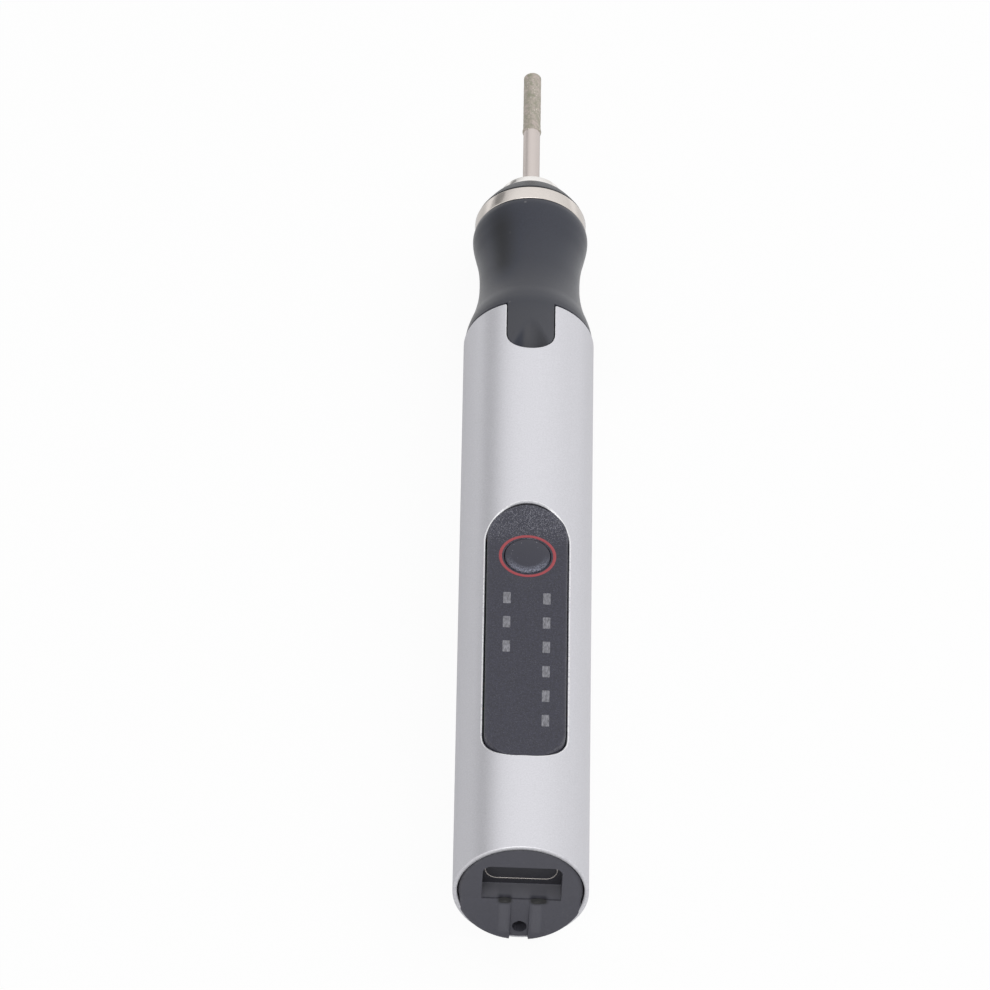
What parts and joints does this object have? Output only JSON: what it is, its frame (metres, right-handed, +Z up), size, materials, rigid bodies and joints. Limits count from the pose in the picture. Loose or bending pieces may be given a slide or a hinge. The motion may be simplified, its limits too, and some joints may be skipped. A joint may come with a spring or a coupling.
{
  "type": "cordless engraving pen",
  "caption": "Slim rechargeable engraving pen with an aluminium tube body, a black waisted grip, a flat control panel with a power key, a twist-lock nose and a diamond-coated bur.",
  "frame": {"origin": "centre of the bounding box's underside, on the plane that the tube lies on", "axes": "+Y along the pen's axis towards the bur, +Z up through the control panel, +X to the right when seen from the rear"},
  "size_m": [0.018, 0.1553, 0.0178],
  "materials": {
    "satin_aluminium": "bead-blasted satin silver",
    "black_cap": "matt black",
    "black_grip": "soft-touch matt black",
    "black_cone": "satin black",
    "black_panel": "fine speckled texture",
    "nickel": "bright nickel plate",
    "steel": "ground steel, with diamond grit on the bur's head",
    "brass": "turned",
    "circuit_board": "green solder mask",
    "black_insulator": "moulded black",
    "lamp": "white diffused",
    "clear_lens": "clear lamp dome",
    "cell_wrap": "shrink wrap",
    "foam_pad": "closed-cell foam",
    "black_rubber": "matt",
    "magnet": "sintered ferrite",
    "red_lead": "insulation",
    "black_lead": "insulation"
  },
  "bodies": {
    "pen_body": {"body_tube": "satin_aluminium", "rear_cap": "black_cap", "port_shell": "nickel", "port_tongue": "black_insulator", "charge_board": "circuit_board", "chassis": "black_insulator", "battery_cell": "cell_wrap", "battery_pad": "foam_pad", "battery_lead_black": "black_lead", "battery_lead_red": "red_lead", "main_board": "circuit_board", "tact_switch": "steel", "control_panel": "black_panel", "indicator_lamp_left_1": "lamp", "indicator_lamp_left_2": "lamp", "indicator_lamp_left_3": "lamp", "indicator_lamp_right_1": "lamp", "indicator_lamp_right_2": "lamp", "indicator_lamp_right_3": "lamp", "indicator_lamp_right_4": "lamp", "indicator_lamp_right_5": "lamp", "indicator_lamp_right_6": "lamp", "work_light": "clear_lens", "motor_can": "steel", "motor_end_bell": "black_insulator", "motor_magnet_left": "magnet", "motor_magnet_right": "magnet", "motor_sleeve": "black_rubber", "motor_lead_black": "black_lead", "motor_lead_red": "red_lead", "front_grip": "black_grip", "bearing_barrel": "steel", "bearing_spacer": "brass", "rear_bearing_outer_race": "steel", "front_bearing_outer_race": "steel"},
    "spindle_group": {"motor_rotor": "steel", "shaft_coupling": "brass", "spindle": "steel", "rear_bearing_inner_race": "steel", "front_bearing_inner_race": "steel", "collet": "nickel"},
    "bit": {"diamond_bur": "steel"},
    "chuck_collar": {"nose_ring": "nickel", "nose_cone": "black_cone", "nose_tip": "nickel", "lock_cam": "steel"},
    "button": {"power_button": "black_panel", "switch_plunger": "black_insulator"}
  },
  "joints": [
    {"name": "spindle_spin", "type": "hinge", "parent": "pen_body", "child": "spindle_group", "pos_m": [0, 0, 0.00882], "axis": [0, 1, 0], "continuous": true},
    {"name": "bit_pull", "type": "slide", "parent": "spindle_group", "child": "bit", "axis": [0, 1, 0], "range_m": [0, 0.022]},
    {"name": "chuck_twist", "type": "hinge", "parent": "pen_body", "child": "chuck_collar", "pos_m": [0, 0, 0.00882], "axis": [0, 1, 0], "range_deg": [0, 70]},
    {"name": "button_press", "type": "slide", "parent": "pen_body", "child": "button", "axis": [0, 0, -1], "range_m": [0, 0.00025], "stiffness_N_per_m": 1200, "springref_m": -0.0002}
  ]
}
